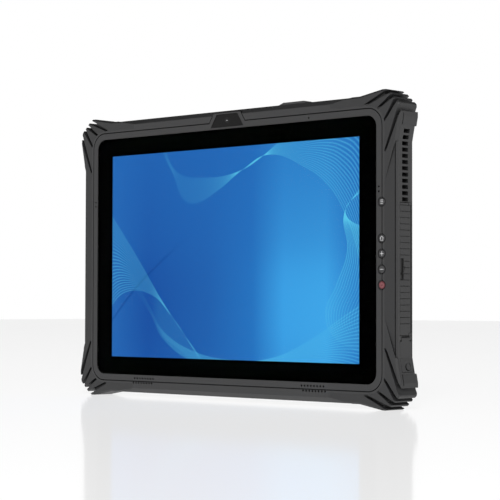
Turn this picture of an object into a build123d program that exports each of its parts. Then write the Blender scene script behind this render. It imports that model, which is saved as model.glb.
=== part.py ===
from build123d import *
from math import hypot
import os

os.makedirs("parts", exist_ok=True)

# Rugged handheld data collector, standing upright on its two lower corner bumpers.
# Everything is drawn with X to the right, Y as depth behind the front plane and Z up from the
# screen's centre. save() then moves a piece so that the origin is at the middle of the base.

# ---- driving sizes (mm) ------------------------------------------------------------------

# display and glass
display_width = 262.8
display_height = 164.25
ink_side = 16.65
ink_end = 14.25
glass_corner = 8.5
glass_front = 0.35
glass_thickness = 0.9
ink_thickness = 0.2
lcd_thickness = 3.15
lcd_border = 4.5
gasket_thickness = 0.6
gasket_width = 3.2

# front rim, seam and guard
rim_gap = 0.15
rim_width = 4.8
rim_ledge = 7.0
seam_corner = 12.5
seam_gap = 0.7
lip_side = 1.7
lip_end = 5.1
facet_side = 10.6
facet_end = 3.8
guard_depth = 3.8
facet_drop = 1.1
edge_line = 0.8
edge_line_depth = 0.9
grip_depth = 2.6

# corner bumpers
foot_reach_side = 3.65
foot_reach_end = 3.6
foot_width = 3.2
bumper_depth = 21.5
bumper_length_end = 34.0
bumper_length_side = 34.0
bumper_wrap_side = 22.4
bumper_chamfer = 1.3
bumper_back_chamfer = 0.8
fin_groove_width = 3.6
fin_groove_depth = 3.0

# rear housing
frame_depth = 20.5
back_rise = 4.9
hood_rise = 5.5
wall = 2.4
back_wall = 2.0
flange_depth = 1.7
flange_inset = 3.4
rear_round = 2.6
plateau_side = 120.0
plateau_top = 74.0
plateau_bottom = 92.0
plateau_slope = 4.0

# keys on the right rim
key_radius = 2.75
key_clearance = 0.25
key_flange_radius = 3.1
key_top = 0.15
key_travel = 0.45
key_rest_gap = 0.05
key_pcb_front = 7.0
key_pcb_thickness = 0.15
key_heights = {
    "key_function": 34.0,
    "key_home": 7.9,
    "key_plus": -3.0,
    "key_minus": -14.2,
    "key_power": -25.4,
}

# right side: vents, ribbed door and lower flap
vent_count = 12
vent_pitch = 4.44
vent_height = 2.9
vent_front = 7.0
vent_back = 14.0
vent_top_margin = 26.5
door_thickness = 1.6
door_front = 4.6
door_back = 17.6
door_gap = 0.3
flap_height = 24.8
flap_margin = 23.9
flap_door_gap = 0.9
rib_width = 0.5
rib_depth = 0.4
barrel_radius = 1.2
pin_radius = 0.6
pin_clearance = 0.05
lug_half = 1.3
lug_clearance = 0.7
bay_depth = 6.5
bay_front = 6.0
bay_back = 15.0
bay_wall = 1.3

# battery and its two latches
battery_half_width = 98.0
battery_bottom = -85.0
battery_top = 6.0
battery_floor = 12.4
battery_gap = 0.35
battery_wall = 1.6
latch_half_width = 10.0
latch_height = 10.0
latch_offset = 62.0
latch_travel = 4.0
latch_seat_depth = 3.4
latch_tongue = 3.0
latch_gap = 0.3

# mounting inserts, screws and dock
insert_spacing_x = 264.0
insert_spacing_z = 184.0
insert_radius = 3.25
insert_hole_radius = 1.65
insert_length = 5.0
screw_head_radius = 2.6
screw_shank_radius = 1.2
dock_half_width = 23.0
dock_front = 8.0
dock_back = 14.0
dock_contact_count = 12

# ---- sizes that follow -------------------------------------------------------------------

glass_half_w = display_width / 2 + ink_side
glass_half_h = display_height / 2 + ink_end
glass_back = glass_front + glass_thickness
ink_back = glass_back + ink_thickness
lcd_back = ink_back + lcd_thickness
seam_half_w = glass_half_w + rim_gap + rim_width
seam_half_h = glass_half_h + rim_gap + rim_width
lip_half_w = seam_half_w + seam_gap + lip_side
lip_half_h = seam_half_h + seam_gap + lip_end
body_half_w = lip_half_w + facet_side
body_half_h = lip_half_h + facet_end
full_half_w = body_half_w + foot_reach_side
full_half_h = body_half_h + foot_reach_end
plateau_depth = frame_depth + back_rise
body_depth = frame_depth + hood_rise
last_vent = body_half_h - vent_top_margin - (vent_count - 1) * vent_pitch
door_top = last_vent - vent_pitch / 2
flap_bottom = -body_half_h + flap_margin
flap_top = flap_bottom + flap_height
door_bottom = flap_top + flap_door_gap
hinge_x = body_half_w - barrel_radius
door_hinge_y = door_back - barrel_radius
flap_hinge_z = flap_top - barrel_radius
bay_floor_x = body_half_w - bay_depth
latch_floor = plateau_depth - latch_seat_depth
chassis_back = lcd_back + 1.4


# ---- drawing helpers -----------------------------------------------------------------------

def save(node, *shapes):
    """Write one sub-part, moved to the part's own frame."""
    placed = [Pos(0, -body_depth / 2, full_half_h) * shape for shape in shapes]
    solids = [solid for shape in placed for solid in shape.solids()]
    export_step(Compound(children=solids) if len(solids) > 1 else solids[0], f"parts/{node}.step")


def outline(*points):
    """A closed flat outline through points given as (x, z)."""
    return Polygon(*points, align=None)


def slab(face, front, back):
    """A front-view outline made solid between two depths."""
    return Pos(0, back, 0) * extrude(Plane.XZ * face, amount=back - front, dir=(0, -1, 0))


def block(x, y, z):
    """A box between a low and a high value along each axis."""
    size = (x[1] - x[0], y[1] - y[0], z[1] - z[0])
    middle = ((x[0] + x[1]) / 2, (y[0] + y[1]) / 2, (z[0] + z[1]) / 2)
    return Pos(*middle) * Box(*size)


def rod(radius, start, length, axis):
    """A round bar that starts at a point and runs along +X, +Y or +Z."""
    turn = {"x": Rot(0, 90, 0), "y": Rot(-90, 0, 0), "z": Rot(0, 0, 0)}[axis]
    half = {"x": (length / 2, 0, 0), "y": (0, length / 2, 0), "z": (0, 0, length / 2)}[axis]
    return Pos(*start) * (Pos(*half) * (turn * Cylinder(radius, length)))


def rounded(half_w, half_h, radius):
    """A rounded rectangle about the screen's centre."""
    return RectangleRounded(2 * half_w, 2 * half_h, radius)


def four_ways(points):
    """An upper right run of points, carried round all four quadrants."""
    right_down = [(x, -z) for x, z in reversed(points)]
    left_down = [(-x, -z) for x, z in points]
    left_up = [(-x, z) for x, z in reversed(points)]
    return outline(*(points + right_down + left_down + left_up))


def in_four_corners(shape):
    """The upper right shape and its three mirror images, by corner name."""
    left = shape.mirror(Plane.YZ)
    return {
        "top_right": shape,
        "top_left": left,
        "bottom_right": shape.mirror(Plane.XY),
        "bottom_left": left.mirror(Plane.XY),
    }


# ---- display stack -------------------------------------------------------------------------

def display_window():
    return Rectangle(display_width, display_height)


lcd_half_w = display_width / 2 + lcd_border
lcd_half_h = display_height / 2 + lcd_border

save("cover_glass", slab(rounded(glass_half_w, glass_half_h, glass_corner), glass_front, glass_back))

ink = rounded(glass_half_w, glass_half_h, glass_corner) - display_window()
save("glass_border", slab(ink, glass_back, ink_back))

lcd_panel = slab(Rectangle(2 * lcd_half_w, 2 * lcd_half_h), ink_back, lcd_back)
save("lcd_panel", lcd_panel)

gasket_outer = rounded(glass_half_w - 0.6, glass_half_h - 0.6, glass_corner - 0.6)
gasket_inner_w = glass_half_w - gasket_width
gasket_inner_h = glass_half_h - gasket_width
gasket_inner = rounded(gasket_inner_w, gasket_inner_h, glass_corner - gasket_width)
save("glass_gasket", slab(gasket_outer - gasket_inner, ink_back, ink_back + gasket_thickness))

# ---- camera window in a tab of the rim -------------------------------------------------------

tab_bottom_half = 19.0
tab_top_half = 14.0
tab_top = lip_half_h + 1.9
window_border = 3.7
window_bottom = glass_half_h + 1.7
window_top = tab_top - 1.1
window_recess = 1.6


def tab_half_width(z):
    """Half the width of the camera tab at a height; its sides lean inwards."""
    share = (z - seam_half_h) / (tab_top - seam_half_h)
    return tab_bottom_half + (tab_top_half - tab_bottom_half) * share


def tab_outline(grow, bottom, top):
    low = tab_half_width(bottom) + grow
    high = tab_half_width(top) + grow
    return outline((-low, bottom), (low, bottom), (high, top), (-high, top))


camera_z = (window_bottom + window_top) / 2
window_face = tab_outline(-window_border, window_bottom, window_top)
window_gap = 0.1
pocket_face = tab_outline(window_gap - window_border, window_bottom - window_gap, window_top + window_gap)
window_pocket = slab(pocket_face, -1, window_recess)
camera_hole = rod(3.2, (0, 0, camera_z), guard_depth + 4, "y")
save("camera_window", slab(window_face, 0.25, window_recess))

front_camera = rod(2.9, (0, window_recess, camera_z), 2.6, "y")
front_camera += block((-4, 4), (window_recess + 2.6, window_recess + 4.2), (camera_z - 2.9, camera_z + 2.9))
save("front_camera", front_camera)

# ---- front rim (bezel) -----------------------------------------------------------------------

key_x = seam_half_w
key_hole_radius = key_radius + key_clearance
key_dish_radius = key_hole_radius + 0.7
status_hole_radius = 0.75
status_x = glass_half_w + 2.4
status_holes = [(side * status_x, z) for side in (-1, 1) for z in (45.0, 41.5)]
microphone_hole = (display_width / 2 - 47.3, seam_half_h - 2.5)
speaker_pitch = 3.05
speaker_hole_radius = 0.8
speaker_hole_count = 8
speaker_x = {-1: -display_width / 2 + 39.5, 1: display_width / 2 - 43.5}
rim_row_z = -(seam_half_h - 2.1)
guard_row_z = -(seam_half_h + 1.6)


def speaker_row(z, shift):
    """One row of sound holes at each end of the lower edge, shifted outwards."""
    holes = []
    for side, middle in speaker_x.items():
        for number in range(speaker_hole_count):
            x = middle + (number - (speaker_hole_count - 1) / 2) * speaker_pitch + side * shift
            holes.append(rod(speaker_hole_radius, (x, -1, z), guard_depth + 2, "y"))
    return holes


key_tools = []
for height in key_heights.values():
    key_tools.append(rod(key_hole_radius, (key_x, -1, height), guard_depth + flange_depth + 2, "y"))
    key_tools.append(rod(key_dish_radius, (key_x, -1, height), 1.55, "y"))

bezel = slab(rounded(seam_half_w, seam_half_h, seam_corner), 0, guard_depth)
bezel += slab(tab_outline(0, seam_half_h - 1, tab_top), 0, guard_depth)
glass_hole = rounded(glass_half_w + rim_gap, glass_half_h + rim_gap, glass_corner)
bezel -= slab(glass_hole, -1, ink_back + gasket_thickness)
ledge_half_w = glass_half_w - rim_ledge
ledge_half_h = glass_half_h - rim_ledge
bezel -= slab(rounded(ledge_half_w, ledge_half_h, 3.0), -1, guard_depth + 1)
bezel -= [window_pocket, camera_hole] + key_tools + speaker_row(rim_row_z, 0)
for x, z in status_holes:
    bezel -= rod(status_hole_radius, (x, -1, z), 3.0, "y")
bezel -= rod(0.7, (microphone_hole[0], -1, microphone_hole[1]), guard_depth + 2, "y")
save("front_bezel", bezel)

# ---- guard: flat lip, side grips and rails -----------------------------------------------------

corner_lip_w = lip_half_w
corner_lip_h = seam_half_h + seam_gap + lip_side
rail_start = display_width / 2 - 27.0
rail_end = body_half_w - 41.0
grip_start = body_half_h - 63.5
grip_end = body_half_h - bumper_length_side

seam_hole = slab(rounded(seam_half_w + seam_gap, seam_half_h + seam_gap, seam_corner + seam_gap), -1, 9)
seam_hole += slab(tab_outline(seam_gap, seam_half_h - 1, tab_top + seam_gap), -1, 9)

grip_face = outline(
    (lip_half_w, -grip_start),
    (lip_half_w, grip_start),
    (body_half_w - 1, grip_end),
    (body_half_w, grip_end),
    (body_half_w, -grip_end),
    (body_half_w - 1, -grip_end),
)

lip = slab(rounded(corner_lip_w, corner_lip_h, seam_corner + seam_gap + lip_side), 0, guard_depth)
lip += slab(Rectangle(2 * rail_start, 2 * lip_half_h), 0, guard_depth)
grip_base = slab(grip_face, grip_depth, guard_depth)
guard_ring = lip + grip_base + grip_base.mirror(Plane.YZ)
guard_ring = guard_ring - seam_hole - key_tools - speaker_row(guard_row_z, speaker_pitch / 2)
save("guard_ring", guard_ring)

# top and bottom rails: a 45 degree bevel above the flat lip
rail_face = outline(
    (-rail_start, lip_half_h),
    (rail_start, lip_half_h),
    (rail_end, body_half_h),
    (-rail_end, body_half_h),
)
rail = slab(rail_face, 0, guard_depth)
bevel_plane = Plane(origin=(0, 0, lip_half_h), x_dir=(1, 0, 0), z_dir=(0, -1, 1))
rail -= bevel_plane * (Pos(0, 0, 10) * Box(3 * body_half_w, 60, 20))
save("top_rail", rail - seam_hole)
save("bottom_rail", rail.mirror(Plane.XY))

# side grips: a shallow rubber facet that ends in a raised bead along the side
bead_width = 1.2
grip = slab(grip_face, 0, grip_depth)
facet_run = facet_side - bead_width - edge_line
facet_cut = Polygon(
    (lip_half_w - 1, -3),
    (lip_half_w, 0),
    (lip_half_w + facet_run, facet_drop),
    (lip_half_w + facet_run, facet_drop + edge_line_depth),
    (lip_half_w + facet_run + edge_line, facet_drop + edge_line_depth),
    (lip_half_w + facet_run + edge_line, facet_drop + 0.3),
    (body_half_w, facet_drop + 1.4),
    (body_half_w + 2, -3),
    align=None,
)
facet_tool = Pos(0, 0, -body_half_h) * extrude(Plane.XY * facet_cut, amount=2 * body_half_h, dir=(0, 0, 1))
grip -= facet_tool
save("side_grip_left", grip.mirror(Plane.YZ))
save("side_grip_right", grip - key_tools)

# ---- corner bumpers --------------------------------------------------------------------------

foot_x = full_half_w - 17.0
shoulder = [
    (body_half_w - bumper_length_end, body_half_h),
    (foot_x, full_half_h),
    (foot_x + foot_width, full_half_h),
    (full_half_w - 10.6, full_half_h - 1.5),
    (full_half_w - 1.3, full_half_h - 10.2),
    (full_half_w, full_half_h - 15.8),
    (full_half_w, full_half_h - 19.6),
    (body_half_w, grip_end),
]
silhouette = slab(four_ways(shoulder), 0, bumper_depth)
silhouette = chamfer(silhouette.faces().sort_by(Axis.Y)[0].outer_wire().edges(), bumper_chamfer)
silhouette = chamfer(silhouette.faces().sort_by(Axis.Y)[-1].outer_wire().edges(), bumper_back_chamfer)

split_z = body_half_h - bumper_wrap_side


def side_x(z):
    """Where the side face stands at a height; it flares outwards next to the bumpers."""
    flare = max(0.0, (abs(z) - grip_end) / (full_half_h - 19.6 - grip_end))
    return body_half_w + foot_reach_side * min(1.0, flare)


# the housing's outline, which passes under the bumpers
core_points = [
    (body_half_w - bumper_length_end - 4, body_half_h),
    (body_half_w - bumper_length_end - 1, body_half_h - 3),
    (full_half_w - 23.7, body_half_h - 3),
    (body_half_w - 3.4, full_half_h - 23.2),
    (body_half_w - 3.4, split_z),
    (side_x(split_z), split_z),
    (body_half_w, grip_end),
]
core_outline = four_ways(core_points)

far = 60
front_zone_points = [
    (rail_start, lip_half_h - far),
    (rail_start, lip_half_h),
    (rail_end, body_half_h),
    (rail_end, body_half_h + far),
    (body_half_w + far, body_half_h + far),
    (body_half_w + far, grip_end),
    (body_half_w - 1, grip_end),
    (lip_half_w, grip_start),
    (lip_half_w - far, grip_start),
]
front_zone = slab(outline(*front_zone_points), 0, guard_depth) - lip
back_zone_face = outline(
    (core_points[0][0], 0),
    (core_points[0][0], body_half_h + far),
    (body_half_w + far, body_half_h + far),
    (body_half_w + far, split_z),
    (0, split_z),
)
back_zone = slab(back_zone_face, guard_depth, bumper_depth) - slab(core_outline, guard_depth, bumper_depth)

# each groove runs outwards from near the lip to the outline, as its inner and outer point
grooves = [
    ((-29.2, -7.1), (-9.7, 0.9)),
    ((-17.2, -10.2), (-5.3, -2.6)),
    ((-11.1, -19.3), (-2.0, -6.6)),
    ((-10.1, -41.0), (1.6, -13.5)),
]


def fin_groove(inner, outer):
    """A tapered groove in the front face that turns over the edge and runs to the back."""
    start = (body_half_w + inner[0], body_half_h + inner[1])
    stop = (body_half_w + outer[0], body_half_h + outer[1])
    reach = hypot(stop[0] - start[0], stop[1] - start[1])
    along = ((stop[0] - start[0]) / reach, (stop[1] - start[1]) / reach)
    across = (-along[1], along[0])

    def spot(distance, side):
        x = start[0] + along[0] * distance + across[0] * side
        return (x, start[1] + along[1] * distance + across[1] * side)

    def wedge(begin, begin_half, end_half):
        end = reach + 8
        near = (spot(begin, begin_half), spot(begin, -begin_half))
        return outline(*near, spot(end, -end_half), spot(end, end_half))

    half = fin_groove_width / 2
    ramp = min(3.0, reach / 4)
    top = Pos(0, -0.01, 0) * (Plane.XZ * wedge(0, 0.9, half + 0.2))
    floor = Pos(0, fin_groove_depth, 0) * (Plane.XZ * wedge(ramp, 0.7, half - 0.4))
    front_cut = loft([top, floor], ruled=True)
    depth_in = spot(reach - fin_groove_depth, 0)
    outwards = (along[0], 0, along[1])
    looking_out = Plane(origin=(depth_in[0], 0, depth_in[1]), x_dir=(0, 1, 0), z_dir=outwards)
    run = Pos(bumper_depth / 2, 0) * Rectangle(bumper_depth + 4, fin_groove_width - 0.6)
    return [front_cut, extrude(looking_out * run, amount=14)]


bumper = (silhouette & front_zone) + (silhouette & back_zone)
for inner, outer in grooves:
    bumper -= fin_groove(inner, outer)
line_z = (grip_end, full_half_h - 17.6)
bumper -= block((full_half_w - 4.3, full_half_w + 1), (guard_depth, guard_depth + edge_line), line_z)
for corner, shape in in_four_corners(bumper).items():
    save(f"corner_bumper_{corner}", shape)

# ---- rear housing ------------------------------------------------------------------------------

shell = slab(core_outline, guard_depth, frame_depth)
shell = fillet(shell.faces().sort_by(Axis.Y)[-1].outer_wire().edges(), rear_round)

flange_half_w = seam_half_w - flange_inset
flange_half_h = seam_half_h - flange_inset
inner_points = [
    (body_half_w - bumper_length_end - 5, body_half_h - wall),
    (body_half_w - bumper_length_end - 2, body_half_h - wall - 3),
    (full_half_w - 24.9, body_half_h - wall - 3),
    (body_half_w - 3.4 - wall, full_half_h - 24.5),
    (body_half_w - 3.4 - wall, split_z),
    (body_half_w - wall, split_z - wall),
]
inner_outline = four_ways(inner_points)

plateau_middle_z = (plateau_top - plateau_bottom) / 2
plateau_size = (2 * plateau_side, plateau_top + plateau_bottom)


def plateau_section(shrink, depth):
    face = RectangleRounded(plateau_size[0] - 2 * shrink, plateau_size[1] - 2 * shrink, 8)
    return Pos(0, depth, 0) * (Plane.XZ * (Pos(0, plateau_middle_z) * face))


plateau_low = plateau_section(0, frame_depth - 0.5)
plateau = loft([plateau_low, plateau_section(plateau_slope, plateau_depth)], ruled=True)
hollow = slab(inner_outline, guard_depth + flange_depth, frame_depth - back_wall)
plateau_hollow_low = plateau_section(back_wall, frame_depth - back_wall - 0.5)
plateau_hollow_high = plateau_section(plateau_slope + back_wall, plateau_depth - back_wall)
plateau_hollow = loft([plateau_hollow_low, plateau_hollow_high], ruled=True)
housing = shell + plateau - hollow - plateau_hollow
flange_hole = rounded(flange_half_w, flange_half_h, seam_corner - flange_inset)
housing -= slab(flange_hole, guard_depth - 1, guard_depth + 3)

# battery bay, open to the back
bay_x = battery_half_width + battery_gap
bay_z = (battery_bottom - battery_gap, battery_top + battery_gap)
bay_skin_z = (bay_z[0] - battery_wall, bay_z[1] + battery_wall)
battery_tub_x = (-bay_x - battery_wall, bay_x + battery_wall)
housing += block(battery_tub_x, (battery_floor - battery_wall, plateau_depth - 1), bay_skin_z)
housing -= block((-bay_x, bay_x), (battery_floor, plateau_depth + 2), bay_z)

# latch seats above the battery
latch_z = battery_top + battery_gap + battery_wall + latch_gap
latch_centres = [-latch_offset, latch_offset]
latch_x_play = latch_half_width + latch_gap
tongue_half = latch_half_width - 4
tongue_y = (latch_floor + 0.1, latch_floor + 1.3)
for x in latch_centres:
    pad_z = (battery_top, latch_z + latch_height + latch_travel + 2)
    pad_x = (x - latch_x_play - 2, x + latch_x_play + 2)
    housing += block(pad_x, (latch_floor - 1.6, plateau_depth - 0.5), pad_z)
for x in latch_centres:
    seat_z = (latch_z - latch_gap, latch_z + latch_height + latch_travel + latch_gap)
    housing -= block((x - latch_x_play, x + latch_x_play), (latch_floor, plateau_depth + 2), seat_z)
    slot_z = (bay_z[1] - 1, seat_z[0] + 1)
    slot_y = (latch_floor, tongue_y[1] + latch_gap)
    slot_x = (x - tongue_half - latch_gap, x + tongue_half + latch_gap)
    housing -= block(slot_x, slot_y, slot_z)
housing -= block((-bay_x, bay_x), (battery_floor, plateau_depth + 2), bay_z)

# exhaust vents on the right
for number in range(vent_count):
    z = body_half_h - vent_top_margin - number * vent_pitch
    vent_z = (z - vent_height / 2, z + vent_height / 2)
    slot = block((body_half_w - 8, body_half_w + 5), (vent_front, vent_back), vent_z)
    housing -= fillet(slot.edges().filter_by(Axis.X), 0.5)

# connector bays behind the ribbed door and the lower flap
pin_seat = 2.0
door_cavity_z = (door_bottom + pin_seat + 0.6, door_top - pin_seat - 0.6)
flap_cavity_z = (flap_bottom + 1.8, flap_hinge_z - 2.2)
for bay in (door_cavity_z, flap_cavity_z):
    skin = (bay[0] - bay_wall, bay[1] + bay_wall)
    skin_x = (bay_floor_x - bay_wall, body_half_w - wall + 0.5)
    housing += block(skin_x, (guard_depth + 0.5, door_back + 1.2), skin)
recess_x = (body_half_w - door_thickness - 0.1, body_half_w + 2)
recess_y = (door_front - door_gap, door_back + door_gap)
housing -= block(recess_x, recess_y, (door_bottom - door_gap, door_top + door_gap))
housing -= block((recess_x[0], full_half_w + 1), recess_y, (flap_bottom - door_gap, flap_top + door_gap))
for bay in (door_cavity_z, flap_cavity_z):
    housing -= block((bay_floor_x, full_half_w + 1), (bay_front, bay_back), bay)
# lugs hold the pin at both ends of each barrel; the barrel itself turns in a round trough
trough = barrel_radius + door_gap
barrel_z = (door_bottom + pin_seat, door_top - pin_seat)
barrel_y = (door_front + pin_seat, door_back - pin_seat)
barrel_length_z = barrel_z[1] - barrel_z[0]
barrel_length_y = barrel_y[1] - barrel_y[0]
housing -= rod(trough, (hinge_x, door_hinge_y, barrel_z[0] - 0.2), barrel_length_z + 0.4, "z")
housing -= rod(trough, (hinge_x, barrel_y[0] - 0.2, flap_hinge_z), barrel_length_y + 0.4, "y")
lug_x = (hinge_x - 2 * barrel_radius, body_half_w - 0.2)
for z in ((door_bottom - 0.2, barrel_z[0] - 0.2), (barrel_z[1] + 0.2, door_top + 0.2)):
    housing += block(lug_x, (door_hinge_y - lug_half, door_back + 0.6), z)
for y in ((door_front - 0.2, barrel_y[0] - 0.2), (barrel_y[1] + 0.2, door_back + 0.2)):
    housing += block(lug_x, y, (flap_hinge_z - lug_half, flap_top + 0.6))
housing -= rod(pin_radius, (hinge_x, door_hinge_y, door_bottom + 0.3), door_top - door_bottom - 0.6, "z")
housing -= rod(pin_radius, (hinge_x, door_front + 0.3, flap_hinge_z), door_back - door_front - 0.6, "y")

# expansion cover recess on the left, with a closed floor behind it
cover_z = (door_bottom, door_top)
housing -= block((-body_half_w - 2, -recess_x[0]), recess_y, (cover_z[0] - door_gap, cover_z[1] + door_gap))
cover_floor_x = (-body_half_w + door_thickness + 0.1, -body_half_w + wall + 0.6)
housing += block(cover_floor_x, (guard_depth + 1, door_back + 1), cover_z)

# dock window in the lower edge, insert bosses and screw bosses
dock_floor_z = -body_half_h
dock_cut_z = (dock_floor_z - 1, dock_floor_z + wall + 1)
housing -= block((-dock_half_width, dock_half_width), (dock_front, dock_back), dock_cut_z)
insert_x = insert_spacing_x / 2
insert_z = insert_spacing_z / 2
insert_spots = [(sx * insert_x, sz * insert_z) for sx in (-1, 1) for sz in (-1, 1)]
screw_x = flange_half_w - 4
screw_z = flange_half_h - 5
screw_spots = [(sx * screw_x, sz * screw_z) for sx in (-1, 1) for sz in (-1, 1)]
screw_spots += [(side * (plateau_side + 12), -30.0) for side in (-1, 1)]
screw_spots += [(-30.0, sz * (screw_z + 5)) for sz in (-1, 1)]
screw_head_y = frame_depth - 1.6
boss_front = chassis_back
for x, z in insert_spots:
    housing += rod(insert_radius + 1.6, (x, frame_depth - insert_length - 1.5, z), insert_length + 0.5, "y")
for x, z in screw_spots:
    housing += rod(screw_shank_radius + 2.0, (x, boss_front, z), frame_depth - boss_front - 1.0, "y")
for x, z in insert_spots:
    housing -= rod(insert_radius, (x, frame_depth - insert_length, z), insert_length + 1, "y")
for x, z in screw_spots:
    housing -= rod(screw_shank_radius + 0.15, (x, boss_front - 1, z), frame_depth, "y")
    housing -= rod(screw_head_radius + 0.4, (x, screw_head_y, z), 4, "y")
for tool in key_tools:
    housing -= tool
for middle in speaker_x.values():
    sound_x = (middle - 14.0, middle + 14.0)
    housing -= block(sound_x, (guard_depth - 1, guard_depth + 3), (guard_row_z - 1, guard_row_z + 4))
camera_seat = (camera_z - 3.2, camera_z + 3.2)
housing -= block((-4.3, 4.3), (guard_depth - 1, guard_depth + 3), camera_seat)

# ---- scanner hood on the top edge ---------------------------------------------------------------

hood_front = 15.5
hood_right = display_width / 2 - 66.0
hood_left = hood_right - 26.4
hood_top = full_half_h - 0.1
hood_bottom = full_half_h - 25.0
hood_face = outline(
    (hood_left, hood_bottom),
    (hood_left, full_half_h - 2.2),
    (hood_left + 5.7, hood_top),
    (hood_right, hood_top),
    (hood_right + 1.6, hood_top - 1.6),
    (hood_right + 17, hood_top - 2.7),
    (hood_right + 19, hood_top - 4.5),
    (hood_right + 10, hood_bottom),
)
hood = slab(hood_face, hood_front, body_depth)
hood = chamfer(hood.faces().sort_by(Axis.Y)[-1].outer_wire().edges(), 1.2)
hood -= slab(core_outline, 0, frame_depth)
scan_x = (hood_left + 8.0, hood_right - 2.0)
scan_y = (frame_depth + 0.4, body_depth - 1.6)
hood -= block(scan_x, scan_y, (hood_bottom + 4, hood_top + 1))
save("scanner_hood", hood)
save("scanner_window", block((scan_x[0], scan_x[1]), scan_y, (hood_top - 1.6, hood_top - 0.6)))
engine_y = (scan_y[0], scan_y[1] - 0.2)
engine_z = (hood_bottom + 4.2, hood_top - 3.2)
save("scan_engine", block((scan_x[0] + 1, scan_x[1] - 1), engine_y, engine_z))

# ---- rear camera and flash -------------------------------------------------------------------

camera_x = -display_width / 2 + 40.0
camera_plate_z = plateau_top + 17.0
plate = Pos(camera_x, camera_plate_z) * RectangleRounded(38, 20, 4)
plinth = slab(plate, frame_depth, frame_depth + 2.2)
plinth = chamfer(plinth.faces().sort_by(Axis.Y)[-1].outer_wire().edges(), 0.7)
lens_x = camera_x + 9
flash_x = camera_x - 9
plinth -= rod(6.2, (lens_x, frame_depth - 1, camera_plate_z), 5, "y")
plinth -= rod(3.2, (flash_x, frame_depth - 1, camera_plate_z), 5, "y")
save("camera_plinth", plinth)
barrel = rod(6.0, (lens_x, frame_depth, camera_plate_z), 1.9, "y")
barrel -= rod(4.4, (lens_x, frame_depth + 1.0, camera_plate_z), 2, "y")
save("rear_camera_barrel", barrel)
save("rear_camera_lens", rod(4.2, (lens_x, frame_depth + 1.0, camera_plate_z), 0.6, "y"))
save("camera_flash", rod(3.0, (flash_x, frame_depth, camera_plate_z), 1.6, "y"))

# ---- battery, contacts and latches --------------------------------------------------------------

battery_x = (-battery_half_width, battery_half_width)
battery = block(battery_x, (battery_floor + 1.2, plateau_depth), (battery_bottom, battery_top))
battery = fillet(battery.edges().filter_by(Axis.Y), 3.0)
battery = chamfer(battery.faces().sort_by(Axis.Y)[-1].outer_wire().edges(), 0.8)
for x in latch_centres:
    keeper_x = (x - tongue_half - latch_gap, x + tongue_half + latch_gap)
    keeper_y = (tongue_y[0] - latch_gap, tongue_y[1] + latch_gap)
    battery -= block(keeper_x, keeper_y, (battery_top - latch_tongue - latch_gap, battery_top + 1))
panel = Pos(0, (battery_top + battery_bottom) / 2) * RectangleRounded(
    2 * battery_half_width - 24, battery_top - battery_bottom - 22, 5
)
battery -= slab(panel, plateau_depth - 0.6, plateau_depth + 1)
save("battery_pack", battery)

contact_count = 8
contact_pitch = 3.8
carrier_y = (battery_floor, battery_floor + 0.6)
blade_y = (battery_floor + 0.6, battery_floor + 1.2)
blade_z = (battery_bottom + 7, battery_bottom + 13)
contacts = [block((-16, 16), carrier_y, (battery_bottom + 6, battery_bottom + 14))]
for number in range(contact_count):
    x = (number - (contact_count - 1) / 2) * contact_pitch
    contacts.append(block((x - 1, x + 1), blade_y, blade_z))
save("battery_contacts", *contacts)


def battery_latch(x):
    """A ribbed slider; its tongue reaches under the lip of the battery."""
    plate_y = (latch_floor + 0.1, plateau_depth + 0.3)
    plate_x = (x - latch_half_width, x + latch_half_width)
    latch = block(plate_x, plate_y, (latch_z, latch_z + latch_height))
    latch = chamfer(latch.faces().sort_by(Axis.Y)[-1].outer_wire().edges(), 0.5)
    tongue_z = (battery_top - latch_tongue, latch_z + 1)
    rib_y = (plate_y[1] - 0.6, plate_y[1] + 1)
    latch += block((x - tongue_half, x + tongue_half), tongue_y, tongue_z)
    for number in range(4):
        z = latch_z + 2.3 + number * 1.8
        latch -= block((plate_x[0] + 2, plate_x[1] - 2), rib_y, (z - 0.4, z + 0.4))
    return latch


save("battery_latch_left", battery_latch(latch_centres[0]))
save("battery_latch_right", battery_latch(latch_centres[1]))

# ---- inserts, screws and dock --------------------------------------------------------------------

inserts = []
for x, z in insert_spots:
    insert = rod(insert_radius, (x, frame_depth - insert_length, z), insert_length, "y")
    insert -= rod(insert_hole_radius, (x, frame_depth - insert_length - 1, z), insert_length + 2, "y")
    inserts.append(insert)
save("threaded_inserts", *inserts)

screws = []
for x, z in screw_spots:
    screw = rod(screw_head_radius, (x, screw_head_y, z), 1.3, "y")
    screw += rod(screw_shank_radius, (x, boss_front, z), screw_head_y - boss_front, "y")
    socket = Pos(x, screw_head_y + 0.5, z) * extrude(Plane.XZ * RegularPolygon(1.3, 6), amount=-2)
    screws.append(screw - socket)
save("housing_screws", *screws)

dock_fit = 0.1
dock_inner_x = (dock_fit - dock_half_width, dock_half_width - dock_fit)
dock_inner_y = (dock_front + dock_fit, dock_back - dock_fit)
dock = block(dock_inner_x, dock_inner_y, (dock_floor_z + 0.4, dock_floor_z + 4))
dock_flange_x = (-dock_half_width - 2, dock_half_width + 2)
dock += block(dock_flange_x, (dock_front - 1.5, dock_back + 1.5), (dock_floor_z + wall, dock_floor_z + 5))
save("dock_connector", dock)
pads = []
dock_pitch = (2 * dock_half_width - 8) / (dock_contact_count - 1)
dock_middle_y = (dock_front + dock_back) / 2
for number in range(dock_contact_count):
    x = (number - (dock_contact_count - 1) / 2) * dock_pitch
    pads.append(rod(1.0, (x, dock_middle_y, dock_floor_z + 0.1), 0.3, "z"))
save("dock_contacts", *pads)

# ---- ribbed door, lower flap, cover and pins -------------------------------------------------------


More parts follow.
